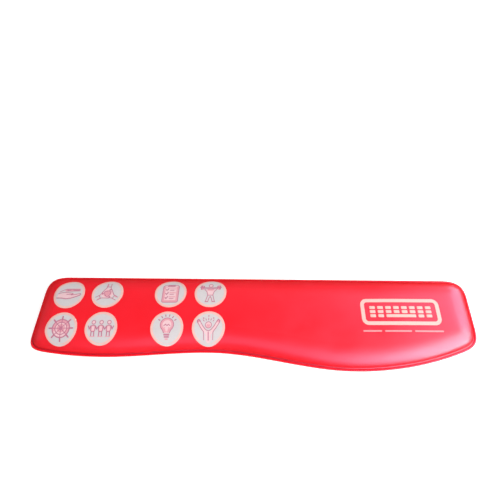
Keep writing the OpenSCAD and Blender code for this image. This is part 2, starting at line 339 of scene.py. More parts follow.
def cells(tree, place, period):
    """The distance from the middles of scattered cells about a period wide."""
    return add(tree, "TexVoronoi", {"Vector": place, "Scale": 1 / period}).outputs["Distance"]


def ramp(tree, factor, low, high, start=0.0, end=1.0):
    """A value from low to high as the factor goes from start to end."""
    inputs = {"Value": factor, "From Min": start, "From Max": end, "To Min": low, "To Max": high}
    return add(tree, "MapRange", inputs).outputs[0]


def mix_colours(tree, factor, a, b):
    colours = [(*colour, 1) if isinstance(colour, tuple) else colour for colour in (a, b)]
    return add(tree, "Mix", {0: factor, 6: colours[0], 7: colours[1]}, data_type="RGBA").outputs[2]


def bump(tree, height, depth_mm, below=None):
    """A bump as deep as depth_mm for a height from 0 to 1."""
    inputs = {"Height": height, "Distance": depth_mm * MM, "Strength": 1.0}
    if below is not None:
        inputs["Normal"] = below
    return add(tree, "Bump", inputs).outputs[0]


# How far the surface has turned away where its shine's fade starts and ends, and the share left
FADE_SPAN, FADE_LEFT = (0.5, 0.76), 0.05


def softened(tree, strength):
    """A shine's strength that fades where the surface is seen at a low angle, as a fabric's does."""
    facing = add(tree, "LayerWeight", {"Blend": 0.5}).outputs["Facing"]
    return ramp(tree, facing, strength, FADE_LEFT * strength, *FADE_SPAN)


def weave(tree, place, pitch):
    """The height, from 0 to 1, of a fine plain weave with this pitch in millimetres."""
    parts = add(tree, "SeparateXYZ", {0: place})
    turn = math.tau / pitch
    waves = [calc(tree, "SINE", calc(tree, "MULTIPLY", parts.outputs[i], turn)) for i in (0, 1)]
    crossed = calc(tree, "MULTIPLY", *waves)
    return calc(tree, "MULTIPLY_ADD", crossed, 0.5)


# ---- materials
WEAVE_PITCH = 0.55
COVER_RED = (0.96, 0.004, 0.010)
COVER_RED_DEEP = (0.91, 0.003, 0.007)
COVER_RED_THREAD = (0.74, 0.003, 0.006)
# Painted shade for the weld groove and the foot of the wall above it
COVER_RED_SEAM_SHADE = (0.44, 0.004, 0.011)


def cover_recipe(tree):
    """Red stretch fabric with a thin satin coat: a fine weave under a soft grain."""
    place = cloth_mm(tree)
    clouds = noise(tree, place, 45, 4)
    threads = weave(tree, place, WEAVE_PITCH)
    grain = noise(tree, place, 0.5, 4, 0.7)
    seam_shade = add(tree, "Attribute", attribute_name="seam_shade").outputs["Fac"]
    red = mix_colours(tree, ramp(tree, clouds, 0, 1, 0.3, 0.7), COVER_RED, COVER_RED_DEEP)
    red = mix_colours(tree, calc(tree, "MULTIPLY", threads, 0.12), red, COVER_RED_THREAD)
    # Painted shade: the red darkens in the weld groove and on the first rings above it
    red = mix_colours(tree, calc(tree, "MULTIPLY", seam_shade, 0.9), red, COVER_RED_SEAM_SHADE)
    worn = ramp(tree, noise(tree, place, 28, 5, 0.6), 0.34, 0.42, 0.3, 0.7)
    normal = bump(tree, noise(tree, place, 9, 2), 0.03)
    normal = bump(tree, grain, 0.02, normal)
    normal = bump(tree, threads, 0.015, normal)
    return dict(
        Base_Color=red, Roughness=worn, Normal=normal, IOR=1.5,
        Specular_IOR_Level=softened(tree, 0.9), Specular_Tint=(1.0, 0.62, 1.0, 1),
        Coat_Weight=softened(tree, 0.22), Coat_Roughness=0.22,
    )


def backing_recipe(tree):
    """The cover's uncoated knitted back."""
    place = cloth_mm(tree)
    threads = weave(tree, place, 2 * WEAVE_PITCH)
    tint = mix_colours(tree, threads, (0.62, 0.25, 0.27), (0.80, 0.45, 0.46))
    return dict(Base_Color=tint, Roughness=0.85, Sheen_Weight=0.4, Normal=bump(tree, threads, 0.08))


def print_recipe(tree, colour, shade, rough):
    """Ink on the cover, through which the weave shows a little."""
    place = place_mm(tree)
    mottle = ramp(tree, noise(tree, place, 2.5, 5, 0.65), 0, 1, 0.35, 0.75)
    tint = mix_colours(tree, mottle, colour, shade)
    normal = bump(tree, weave(tree, place, WEAVE_PITCH), 0.008)
    normal = bump(tree, noise(tree, place, 0.4, 3), 0.01, normal)
    return dict(
        Base_Color=tint, Roughness=ramp(tree, mottle, rough, rough + 0.12), Normal=normal,
        Specular_IOR_Level=softened(tree, 0.5), Coat_Weight=softened(tree, 0.15), Coat_Roughness=0.4,
    )


def gel_recipe(tree):
    """Clear blue gel with small bubbles."""
    place = place_mm(tree)
    bubbles = cells(tree, place, 7)
    tint = mix_colours(tree, noise(tree, place, 30), (0.30, 0.62, 0.80), (0.46, 0.76, 0.88))
    tint = mix_colours(tree, ramp(tree, bubbles, 0.5, 0, 0.0, 0.12), tint, (0.85, 0.95, 1.0))
    return dict(
        Base_Color=tint, Roughness=ramp(tree, noise(tree, place, 12), 0.08, 0.2), IOR=1.42,
        Transmission_Weight=0.45, Subsurface_Weight=0.35, Subsurface_Scale=4 * MM,
        Normal=bump(tree, noise(tree, place, 5, 2), 0.08),
    )


def gel_film_recipe(tree):
    """Clear film with the slight ripples of a blown sheet."""
    place = place_mm(tree)
    ripple = noise(tree, place, 14, 3)
    tint = mix_colours(tree, ripple, (0.70, 0.82, 0.87), (0.86, 0.92, 0.94))
    return dict(
        Base_Color=tint, Roughness=ramp(tree, ripple, 0.08, 0.22), IOR=1.5,
        Transmission_Weight=0.7, Normal=bump(tree, ripple, 0.06),
    )


def foam_recipe(tree):
    """Cream foam with open cells of a few sizes, with painted shade in the cells' hollows."""
    place = place_mm(tree)
    pores = ramp(tree, cells(tree, place, 0.9), 0, 1, 0.1, 0.55)
    large = ramp(tree, cells(tree, place, 2.6), 0, 1, 0.05, 0.4)
    depth = calc(tree, "MULTIPLY", pores, large)
    # Painted shade: each cell is darker where its hollow is deepest, matching the bump below
    tint = mix_colours(tree, depth, (0.50, 0.45, 0.28), (0.86, 0.82, 0.62))
    tint = mix_colours(tree, noise(tree, place, 40), tint, (0.80, 0.74, 0.50))
    return dict(Base_Color=tint, Roughness=0.92, Sheen_Weight=0.2, Normal=bump(tree, depth, 0.25))


def board_recipe(tree):
    """Grey pressed fibre board, flecked with fibres."""
    place = place_mm(tree)
    stretched = add(tree, "VectorMath", {0: place, 1: (0.2, 1.4, 1)}, operation="MULTIPLY").outputs[0]
    fibres = noise(tree, stretched, 0.8, 6, 0.7)
    tint = mix_colours(tree, ramp(tree, fibres, 0, 1, 0.35, 0.65), (0.30, 0.28, 0.25), (0.44, 0.41, 0.36))
    flecks = ramp(tree, cells(tree, stretched, 2.2), 1, 0, 0.0, 0.1)
    tint = mix_colours(tree, flecks, tint, (0.16, 0.14, 0.12))
    rough = ramp(tree, fibres, 0.8, 0.95)
    return dict(Base_Color=tint, Roughness=rough, Normal=bump(tree, fibres, 0.05))


def adhesive_recipe(tree):
    """Milky adhesive sheet with the orange-peel marks of its release paper."""
    place = place_mm(tree)
    peel = noise(tree, place, 1.4, 3)
    tint = mix_colours(tree, noise(tree, place, 20, 4), (0.74, 0.71, 0.63), (0.86, 0.84, 0.78))
    return dict(
        Base_Color=tint, Roughness=ramp(tree, peel, 0.3, 0.5),
        Subsurface_Weight=0.1, Subsurface_Scale=MM, Normal=bump(tree, peel, 0.02),
    )


def base_recipe(tree):
    """Black moulded rubber, a little dusty and finely grained."""
    place = place_mm(tree)
    dust = ramp(tree, noise(tree, place, 22, 6, 0.65), 0, 0.7, 0.45, 0.75)
    tint = mix_colours(tree, dust, (0.018, 0.018, 0.020), (0.055, 0.053, 0.052))
    grain = cells(tree, place, 0.45)
    return dict(
        Base_Color=tint, Roughness=ramp(tree, dust, 0.55, 0.8),
        Specular_IOR_Level=0.4, Normal=bump(tree, grain, 0.04),
    )


# ---- the cover
SWELL_FRAMES, SWELL_CAP = 20, 0.7
LIP_STEPS, GROOVE_POWER = 8, 1.5
# Sine waves as (wavelength, height): of the crown's puffs, and of the tucks above the weld, which
# fade out within a few rings
PUFF_WAVES, PUFF_SEED = [(130, 0.10), (85, 0.08), (52, 0.05), (31, 0.025)], 3
TUCK_WAVES, TUCK_SEED, TUCK_FADE = [(17, 0.05), (11, 0.04), (7, 0.03)], 5, 5


def swell():
    """How far the pressure of the gel lifts the cover's rings and crown, in millimetres, from a
    cloth simulation of the dome at the coarse detail, held round its foot."""
    places = stations(1)
    rings = roll_rings(places, (FLANGE_W, FLANGE_Z, 0), ROLL_RINGS)
    grid = crown_grid(1, 0)
    points, faces = surface(rings, grid, 1)
    mesh = bpy.data.meshes.new("swelling")
    mesh.from_pydata((points * MM).tolist(), [], faces)
    sheet = new_object("swelling", mesh)
    foot = sheet.vertex_groups.new(name="foot")
    foot.add(list(range(len(places))), 1.0, "REPLACE")
    cloth = sheet.modifiers.new("cloth", "CLOTH")
    settings = cloth.settings
    settings.quality = 6
    settings.vertex_group_mass = "foot"
    settings.tension_stiffness = settings.compression_stiffness = 40
    settings.shear_stiffness = 20
    settings.bending_stiffness = 6
    settings.use_pressure = True
    settings.uniform_pressure_force = 4
    settings.effector_weights.gravity = 0
    cloth.point_cache.frame_start, cloth.point_cache.frame_end = 1, SWELL_FRAMES
    for number in range(1, SWELL_FRAMES + 1):
        scene.frame_set(number)
    shaped = sheet.evaluated_get(bpy.context.evaluated_depsgraph_get())
    moved = np.empty(len(points) * 3)
    shaped.data.vertices.foreach_get("co", moved)
    lift = moved.reshape(-1, 3)[:, 2] / MM - points[:, 2]
    bpy.data.objects.remove(sheet)
    scene.frame_set(1)
    lift = np.clip(lift, 0, None)
    lift = SWELL_CAP * np.tanh(lift / SWELL_CAP)
    split = ROLL_RINGS * len(places)
    return lift[:split].reshape(ROLL_RINGS, -1), lift[split:].reshape(grid.shape[:2])


def finer(rows, factor, cyclic):
    """Rows of values, interpolated to a finer step."""
    if cyclic:
        rows = np.concatenate([rows, rows[:1]])
    old = np.arange(len(rows))
    new = np.linspace(0, len(rows) - 1, (len(rows) - 1) * factor + 1)
    made = np.stack([np.interp(new, old, column) for column in rows.T], axis=1)
    return made[:-1] if cyclic else made


def unevenness(points, waves, seed):
    """A sum of sine waves over points in plan, in directions and phases set by the seed."""
    draw = np.random.default_rng(seed)
    x, y = points[..., 0], points[..., 1]
    total = np.zeros(x.shape)
    for length, height in waves:
        turn, phase = draw.uniform(0, math.pi), draw.uniform(0, math.tau)
        total += height * np.sin(math.tau / length * (x * math.cos(turn) + y * math.sin(turn)) + phase)
    return total


def flange_profile():
    """[inset, level] pairs from the flange's underside, round its lip and into the weld groove."""
    radius = COVER_T / 2
    lip = [(radius * (1 - math.cos(a)), FLANGE_Z - radius + radius * math.sin(a))
           for a in np.radians(np.linspace(-90, 90, LIP_STEPS + 1))]
    start = FLANGE_W - GROOVE_W
    bead = [(radius + (start - radius) * t, FLANGE_Z + BEAD_RISE * math.sin(math.pi * t))
            for t in (0.3, 0.65)]
    groove = [(start + GROOVE_W * t, FLANGE_Z - GROOVE_D * math.sin(math.pi * t) ** GROOVE_POWER)
              for t in (0, 0.2, 0.4, 0.6, 0.8)]
    return lip + bead + groove


def unit(ways):
    """Directions in plan, made 1 long."""
    return ways / (np.linalg.norm(ways, axis=1, keepdims=True) + 1e-9)


def sheet_coordinates(rings, grid, border):
    """Where each point lies on the sheet before it is bent over the pad, in millimetres."""
    crown = grid.reshape(-1, 3)[border]
    stack = np.stack(rings + [crown])
    steps = np.linalg.norm(np.diff(stack, axis=0), axis=2)
    length = np.cumsum(steps[::-1], axis=0)[::-1]
    way = unit(stack[0, :, :2] - crown[:, :2])
    laid = [with_z(crown[:, :2] + way * length[k][:, None], 0) for k in range(len(rings))]
    return np.concatenate(laid + [at_level(grid.reshape(-1, 3), 0)])


def make_cover():
    """The cover, with a rounded lip, a weld groove and the swell of the gel. Returns a tree of its
    outer surface, in millimetres, to lay the prints on."""
    detail = COVER_DETAIL
    places = stations(detail)
    ring_lift, crown_lift = swell()
    ring_lift = finer(finer(ring_lift.T, detail, True).T, detail, False)
    crown_lift = finer(finer(crown_lift, detail, False).T, detail, False).T
    profile = flange_profile()
    flange = [with_z(spots(places, 1, inset), z) for inset, z in profile]
    count = ROLL_RINGS * detail
    outer = roll_rings(places, (FLANGE_W, FLANGE_Z, 0), count)
    inner = roll_rings(places, (FLANGE_W + COVER_T, COVER_FOOT, COVER_T), count)
    for k in range(count):
        puff = unevenness(outer[k], PUFF_WAVES, PUFF_SEED) * (k / count)
        lift = ring_lift[min(k, len(ring_lift) - 1)] + puff
        outer[k][:, 2] += lift
        inner[k][:, 2] += lift
        low = math.exp(-(k / TUCK_FADE) ** 2) * (k > 0)
        outer[k][:, 2] += unevenness(outer[k], TUCK_WAVES, TUCK_SEED) * low
    grids = [crown_grid(detail, 0), crown_grid(detail, COVER_T)]
    crown_lift = crown_lift + unevenness(grids[0], PUFF_WAVES, PUFF_SEED)
    for grid in grids:
        grid[:, :, 2] += crown_lift
    sheets = (flange + outer, grids[0]), (inner, grids[1])
    points, faces, upper_faces = shell(*sheets, detail)
    picks = [0] * upper_faces + [1] * (len(faces) - upper_faces)
    skin = make_material("coated_red_fabric", cover_recipe)
    back = make_material("knitted_backing", backing_recipe)
    piece = make_piece("cover", points, faces, [skin, back], "cover_red", "cover_skin", picks)
    cloth = [sheet_coordinates(*sheet, border_indices(detail)) for sheet in sheets]
    point_values(piece, "cloth", np.concatenate(cloth))
    # Painted shade along the weld: strongest in the groove's middle, then fading up the wall's foot
    across = np.clip((np.array(profile)[:, 0] - FLANGE_W + GROOVE_W) / GROOVE_W, 0, 1)
    shade = np.repeat([*np.sin(math.pi * across), *FOOT_SHADE], len(places))
    point_values(piece, "seam_shade", np.pad(shade, (0, len(points) - len(shade))))
    outer_points, outer_faces = surface(outer, grids[0], detail)
    return BVHTree.FromPolygons(outer_points.tolist(), outer_faces)


# ---- what the cover holds
GEL_RIM, GEL_INSET, GEL_SLACK, GEL_RINGS = 0.3, 0.4, 0.05, 12
GEL_WAVES, GEL_SEED = [(40, 0.03), (23, 0.02)], 11
FOAM_MARGIN, FOAM_FOOT, FOAM_SOFT, FOAM_RINGS = 1.2, 0.4, 0.3, 6
FOAM_WAVES, FOAM_SEED = [(9, 0.04), (6, 0.04)], 13
# Where on a layer's roll its full height is taken, to find how much of it lies below a level
GEL_SHARE, FOAM_SHARE = 0.9, 0.95
# The base's edge is round up to this many degrees above and below level
BASE_DETAIL, BASE_EDGE, BASE_EDGE_RINGS = 4, 70, 7
TREAD_PITCH, TREAD_DEPTH, TREAD_MARGIN, TREAD_RINGS = 6, 0.35, 1.2, 20
TREAD_WAVE, TREAD_SWAY, TREAD_STEEPNESS, TREAD_RIB = 18, 1.6, 1.6, 0.5


def make_gel():
    """The gel pad, which keeps a small rim round its flat underside."""
    places = stations(1)
    depth = COVER_T + FILM_T + 2 * LAYER_GAP
    layer = (FLANGE_W + depth, COVER_FOOT, depth)
    start = np.arccos(roll_share(places, layer, GEL_Z + GEL_RIM, GEL_SHARE) ** (ROLL_POWER / 2))
    rings = roll_rings(places, layer, GEL_RINGS, start)
    foot = at_level(rings[0], GEL_Z)
    grid = crown_grid(1, depth + GEL_SLACK)
    grid[:, :, 2] += unevenness(grid, GEL_WAVES, GEL_SEED)
    floor_grid = at_level(crown_grid(1, 0), GEL_Z)
    points, faces, _ = shell(([foot] + rings, grid), ([shrunk(foot, GEL_INSET)], floor_grid), 1)
    gel = make_material("blue_gel", gel_recipe)
    make_piece("gel_pad", points, faces, [gel], "gel", "gel_core")


def roll_share(places, layer, level, share):
    """How far up a layer's roll a level lies, from 0 at its foot to 1."""
    inset, foot, depth = layer
    plan = spots(places, share, inset)
    top = crown_z(plan[:, 0], plan[:, 1]) - depth
    return np.clip((level - foot) / (top - foot), 0, 1)


def at_level(points, level):
    """A copy of a ring or grid, all at one level."""
    made = points.copy()
    made[..., 2] = level
    return made


def shrunk(ring, distance):
    """A ring drawn in towards its own inside by a distance in plan."""
    along = unit((np.roll(ring, -1, axis=0) - np.roll(ring, 1, axis=0))[:, :2])
    made = ring.copy()
    made[:, 0] -= along[:, 1] * distance
    made[:, 1] += along[:, 0] * distance
    return made


def make_foam():
    """The foam slab, with softened edges and a slightly pitted skin."""
    places = stations(1)
    low, high = FOAM_Z + FOAM_FOOT, FOAM_TOP - FOAM_SOFT
    layer = (FLANGE_W + COVER_T + FOAM_MARGIN, low, COVER_T + FILM_T)
    side = []
    for level in np.linspace(low, high, FOAM_RINGS):
        rise = roll_share(places, layer, level, FOAM_SHARE)
        share = (1 - rise**ROLL_POWER) ** (1 / ROLL_POWER)
        side.append(with_z(spots(places, share, layer[0]), level))
    edge = at_level(shrunk(side[-1], FOAM_SOFT), FOAM_TOP)
    foot = at_level(shrunk(side[0], FOAM_SOFT), FOAM_Z)
    top = crown_grid(1, 0)
    top[:, :, 2] = FOAM_TOP - np.abs(unevenness(top, FOAM_WAVES, FOAM_SEED))
    points, faces, _ = shell((side + [edge], top), ([foot], at_level(top, FOAM_Z)), 1)
    foam = make_material("cream_foam", foam_recipe)
    make_piece("foam_slab", points, faces, [foam], "foam", "foam_core")


def make_base():
    """The base sheet, with rounded edges and a wavy tread moulded into its underside."""
    places = stations(BASE_DETAIL)
    radius = BASE_TOP / 2
    side = []
    for angle in np.radians(np.linspace(-BASE_EDGE, BASE_EDGE, BASE_EDGE_RINGS)):
        inset = BASE_INSET + radius * (1 - math.cos(angle))
        side.append(with_z(spots(places, 1, inset), radius + radius * math.sin(angle)))
    top = at_level(crown_grid(BASE_DETAIL, 0), BASE_TOP)
    insets = np.linspace(BASE_INSET + radius, BACK_ROLL - TREAD_MARGIN, TREAD_RINGS)
    under = [with_z(spots(places, 1, inset), 0) for inset in insets]
    floor_grid = top.copy()
    for part in under[2:] + [floor_grid]:
        part[..., 2] = tread(part)
    points, faces, _ = shell((side, top), (under, floor_grid), BASE_DETAIL)
    rubber = make_material("black_rubber", base_recipe)
    make_piece("base", points, faces, [rubber], "base_rubber", "base_sheet")


def tread(points):
    """The level of the underside: wavy grooves between ribs that stand on the desk."""
    wavy = points[..., 1] + TREAD_SWAY * np.sin(math.tau * points[..., 0] / TREAD_WAVE)
    groove = np.sin(math.tau * wavy / TREAD_PITCH) * TREAD_STEEPNESS - TREAD_RIB
    return TREAD_DEPTH * np.clip(groove, 0, 1)


# ---- prints
# The longest steps along a ribbon and along an arc
RIBBON_STEP, ARC_STEP = 0.9, 0.7
# How far in from its rim a film is at its full thickness, and how thick it is at its rim
FILM_RIM, FILM_RIM_T = 0.12, PRINT_T / 3
# A ribbon's round ends: places in front of its end, and the half width of its tip, per width
CAP_PLACES, CAP_TIP = np.array([0.5, 0.43, 0.25]), 0.12
# The least cosine of half a bend that a ribbon's corner is still drawn out for
MITRE_LIMIT = 0.6
RING_MARGIN = 0.15


def turned(points):
    """Places of the artwork, turned with the print."""
    c, s = math.cos(PRINT_TURN), math.sin(PRINT_TURN)
    return np.asarray(points) @ np.array([[c, s], [-s, c]])


def laid(points, lifts):
    """Plan points laid on the cover and raised square to it, all by one lift or each by its own."""
    made = []
    for (x, y), lift in zip(points, np.broadcast_to(lifts, len(points))):
        place, normal, _, _ = COVER_TREE.ray_cast(Vector((x, y, 3 * PAD_HEIGHT)), Vector((0, 0, -1)))
        made.append(place + normal * lift)
    return np.array(made)


def slab(rings, low, high, edge_lift):
    """A thin closed sheet over nested rings of plan points, the last of which is its middle point."""
    count = len(rings[0])
    plan = np.concatenate(rings)
    lifts = np.full(len(plan), high)
    if edge_lift is not None:
        lifts[:count] = edge_lift
    faces = []
    for k in range(len(rings) - 2):
        faces += ring_strip(k * count, (k + 1) * count, count)
    middle, last = len(plan) - 1, (len(rings) - 2) * count
    faces += [(last + j, last + (j + 1) % count, middle) for j in range(count)]
    lower = [tuple(len(plan) + i for i in reversed(face)) for face in faces]
    wall = [face[::-1] for face in ring_strip(0, len(plan), count)]
    return np.concatenate([laid(plan, lifts), laid(plan, low)]), faces + lower + wall


def patch(outline, low, high, step=1.1, edge_lift=None):
    """A filled shape, given by an outline that its middle sees all of."""
    outline = np.asarray(outline, float)
    middle = outline.mean(axis=0)
    reach = np.linalg.norm(outline - middle, axis=1).max()
    count = max(2, math.ceil(reach / step))
    shares = [1 - k / count for k in range(count)]
    if edge_lift is not None:
        shares.insert(1, 1 - FILM_RIM / reach)
    rings = [middle + (outline - middle) * share for share in shares]
    return slab(rings + [middle[None, :]], low, high, edge_lift)


def ribbon(path, width, low, high, closed=False):
    """A line of one width with round ends, or closed on itself."""
    path = spaced(path, RIBBON_STEP, closed)
    ahead = np.roll(path, -1, axis=0) - path
    behind = path - np.roll(path, 1, axis=0)
    if not closed:
        ahead[-1], behind[0] = behind[-1], ahead[0]
    ahead, behind = unit(ahead), unit(behind)
    way = unit(ahead + behind)
    halves = width / 2 * (1 / np.clip((way * ahead).sum(axis=1), MITRE_LIMIT, 1))
    if not closed:
        cap = CAP_PLACES * width
        start = path[0] - ahead[0] * cap[:, None]
        end = path[-1] + ahead[-1] * cap[::-1, None]
        path = np.concatenate([start, path, end])
        way = np.concatenate([way[[0] * 3], way, way[[-1] * 3]])
        narrow = np.sqrt(np.maximum((width / 2) ** 2 - cap**2, (CAP_TIP * width) ** 2))
        halves = np.concatenate([narrow, halves, narrow[::-1]])
    side = np.column_stack([-way[:, 1], way[:, 0]]) * halves[:, None]
    corners = ((1, high), (-1, high), (-1, low), (1, low))
    edges = [laid(path + hand * side, lift) for hand, lift in corners]
    count = len(path)
    spans = count if closed else count - 1
    faces = []
    for q in range(4):
        a, b = q * count, (q + 1) % 4 * count
        faces += [(a + i, b + i, b + (i + 1) % count, a + (i + 1) % count) for i in range(spans)]
    if not closed:
        faces.append(tuple(q * count for q in (3, 2, 1, 0)))
        faces.append(tuple((q + 1) * count - 1 for q in range(4)))
    return np.concatenate(edges), faces


def spaced(path, step, closed):
    """The path with points added so that none are further apart than a step."""
    path = [np.array(p, float) for p in path]
    ends = path[1:] + path[:1] if closed else path[1:]
    made = []
    for a, b in zip(path, ends):
        count = max(1, math.ceil(np.linalg.norm(b - a) / step))
        made += [a + (b - a) * k / count for k in range(count)]
    return np.array(made if closed else made + [path[-1]])


def arc(x, y, r, start, end):
    """Points along an arc. Angles are in degrees."""
    count = max(3, math.ceil(abs(end - start) / 180 * math.pi * r / ARC_STEP))
    turn = np.radians(np.linspace(start, end, count + 1))
    return [(x + r * math.cos(a), y + r * math.sin(a)) for a in turn]


def circle(x, y, r):
    return arc(x, y, r, 0, 360)[:-1]


def rounded_box(x, y, width, height, radius):
    """A rectangle with round corners about its middle, anticlockwise."""
    made = []
    for sx, sy, turn in ((1, -1, -90), (1, 1, 0), (-1, 1, 90), (-1, -1, 180)):
        made += arc(x + sx * (width / 2 - radius), y + sy * (height / 2 - radius), radius, turn, turn + 90)
    return made


def mirrored(items):
    """The items and their mirror images."""
    return items + [(ink, [(-x, y) for x, y in points][::-1], *rest) for ink, points, *rest in items]


def spun(items, count):
    """Copies of the items turned evenly about the roundel's middle."""
    made = []
    for k in range(count):
        a = math.tau * k / count
        c, s = math.cos(a), math.sin(a)
        for ink, points, *rest in items:
            made.append((ink, [(x * c - y * s, x * s + y * c) for x, y in points], *rest))
    return made


DARK, MID, PALE = range(3)
THIN, THICK = 0.8, 1.15


# A pictogram is a list of marks, each (ink, path, width, closed) in millimetres from the roundel's
# middle. A mark with no width is filled.
def line(path, width=THIN, ink=DARK):
    return ink, path, width, False


def loop(path, width=THIN, ink=DARK):
    return ink, path, width, True


def fill(outline, ink=DARK):
    return ink, outline, None, True


def open_hand():
    """A hand held out level under a flat slip."""
    palm = [(-12.6, -4.6), (-7, -4.9), (-2.5, -5.8), (3, -5.2), (8.5, -3.4), (12.3, -1.7)]
    fingers = [(12.3, -1.7), (12.9, -0.5), (12.1, 0.3), (7, -0.9), (2.5, -1.3)]
    thumb = [(-12.2, 0.6), (-8.5, 1.8), (-4.5, 1.9), (1.5, 1.2)]
    thumb += [(4.1, 0.7), (4.2, -0.3), (1.5, -0.7), (-2.6, -0.6)]
    back = [(-11, 2.8), (-7, 5.0), (-4, 6.0)]
    return [
        fill(palm + [(11, -0.4), (3.6, 0.4), (-4.5, 1.4), (-12.2, 0.2)], PALE),
        fill(rounded_box(3.2, 4.9, 17.0, 3.6, 1.2), MID),
        line([(-4.4, 5.9), (2.0, 6.1), (10.6, 5.2)]),
        line([(-3.6, 3.9), (3.0, 3.6), (11.0, 4.0)]),
        line([(-2.6, 4.9), (0.6, 4.9)], THICK), line([(4.2, 4.8), (9.8, 4.7)], THICK),
        line(palm, THICK), line(fingers), line(thumb), line(back),
    ]


def joined_hands():
    """Three forearms that meet in the middle, each hand on the next wrist."""
    arm = [
        fill([(-2.0, 6.6), (-5.8, 1.6), (-5.0, -0.6), (-0.6, 1.2), (3.4, 4.2), (2.2, 6.6)], PALE),
        line([(-2.0, 12.8), (-2.1, 7.4), (-4.4, 3.6), (-6.0, 1.2)]),
        line([(2.0, 12.8), (2.2, 7.2), (3.6, 4.4)]),
        line([(-2.2, 8.6), (2.2, 8.6)]),
        line([(-1.4, 11.6), (-1.4, 9.6)], THICK, MID),
        line([(-6.0, 1.2), (-5.2, -0.8), (-3.4, 0.2)], THICK),
        line([(-4.2, 1.4), (-2.4, 2.6), (0.2, 3.0)]),
    ]
    return [fill(circle(0, 0, 4.2), MID)] + spun(arm, 3)


def checklist():
    """A clipboard with three ticked lines."""
    marks = [
        fill(rounded_box(0, -0.7, 16.6, 20.6, 1.4), PALE),
        loop(rounded_box(0, -0.7, 14.4, 18.4, 0.9), 2.4, MID),
        loop(rounded_box(0, -0.7, 17.0, 21.0, 1.8)),
        fill(rounded_box(0, 9.6, 8.4, 2.6, 0.8)),
    ]
    for row in range(3):
        y = 4.4 - 5.0 * row
        marks += [
            line([(-5.3, y), (-4.3, y - 1.1), (-2.7, y + 1.2)], THICK),
            line([(-0.8, y + 0.9), (5.0, y + 0.9)], THICK, MID),
            line([(-0.8, y - 1.1), (3.4, y - 1.1)]),
        ]
    return marks


def barbell():
    """A figure that holds a barbell overhead."""
    side = [
        fill(rounded_box(9.0, 6.8, 3.8, 6.0, 1.2), MID),
        fill(rounded_box(9.9, 6.8, 1.5, 5.8, 0.6)),
        fill(rounded_box(7.4, 6.8, 1.3, 4.6, 0.6)),
        line([(5.4, 6.6), (6.2, 3.8), (4.0, 1.6), (2.7, -2.6)]),
        line([(2.7, -2.6), (3.7, -6.4), (4.8, -10.4)]),
        line([(0.0, -4.4), (1.3, -6.8), (2.2, -10.4)]),
        line([(5.0, -10.7), (2.4, -10.7)], THICK),
    ]
    body = [
        fill(circle(0, 9.2, 2.3), PALE),
        fill([(2.6, -3.0), (3.8, 2.0), (4.4, 5.0), (-4.4, 5.0), (-3.8, 2.0), (-2.6, -3.0)], PALE),
        line([(-2.8, 3.6), (2.8, 3.6)], 1.8, MID),
        line([(-4.6, 5.2), (4.6, 5.2)], THICK),
        line([(-11.6, 6.8), (11.6, 6.8)]),
        loop(circle(0, 9.4, 2.1)),
        line([(-2.6, -3.0), (2.6, -3.0)]),
    ]
    return body + mirrored(side)


def helm_wheel():
    """A ship's wheel with eight handles."""
    spoke = [
        line([(2.1, 0), (9.0, 0)]),
        line([(9.8, 0), (12.4, 0)], 1.6),
    ]
    return [fill(circle(0, 0, 9.0), PALE), loop(circle(0, 0, 7.3), 3.4, MID)] + spun(spoke, 8) + [
        loop(circle(0, 0, 9.1), THICK),
        loop(circle(0, 0, 6.2)),
        loop(circle(0, 0, 3.1), 2.4, MID),
        fill(circle(0, 0, 1.9)),
    ]


def people_row():
    """Three people who stand side by side, arm in arm."""
    marks = []
    for x in (-8.2, 0, 8.2):
        body = rounded_box(x, -0.6, 4.6, 6.6, 1.8)
        marks += [
            fill(circle(x, 5.8, 2.0), PALE), loop(circle(x, 5.8, 1.9)),
            fill(body, PALE), loop(rounded_box(x, -0.6, 3.6, 5.6, 1.4), 1.0, MID), loop(body),
            *[line([(x + 1.4 * side, -4.0), (x + 1.6 * side, -7.8)], THICK) for side in (-1, 1)],
            line([(x - 2.4, -8.6), (x + 2.4, -8.6)], ink=MID),
        ]
    for x in (-12.0, -4.1, 4.1, 12.0):
        reach = 1.8 if abs(x) < 10 else 1.2
        marks.append(line([(x - reach, 1.8), (x, -1.4), (x + reach, 1.8)], THICK))
    return marks


def light_bulb():
    """A shining light bulb."""
    glass = arc(0, 3.0, 6.9, -48, 228)
    outline = [(2.9, -5.4)] + glass + [(-2.9, -5.4)]
    marks = [
        fill(outline, PALE),
        loop(arc(0, 3.0, 5.6, -48, 228) + [(-2.0, -4.6), (2.0, -4.6)], 2.0, MID),
        line(outline),
        line([(-3.2, 1.8), (-1.6, 3.4), (0, 1.8), (1.6, 3.4), (3.2, 1.8)]),
        line([(-2.8, 2.4), (2.8, 2.4)], THICK, MID),
        *[line([(1.2 * side, -4.4), (2.2 * side, 0.2)], ink=MID) for side in (-1, 1)],
        fill(rounded_box(0, -7.0, 6.4, 1.6, 0.7)),
        fill(rounded_box(0, -9.0, 5.6, 1.5, 0.7)),
        fill(rounded_box(0, -11.0, 3.4, 1.5, 0.7), MID),
    ]
    for turn in range(30, 151, 24):
        c, s = math.cos(math.radians(turn)), math.sin(math.radians(turn))
        marks.append(line([(8.9 * c, 3.0 + 8.9 * s), (10.4 * c, 3.0 + 10.4 * s)], THICK))
    return marks


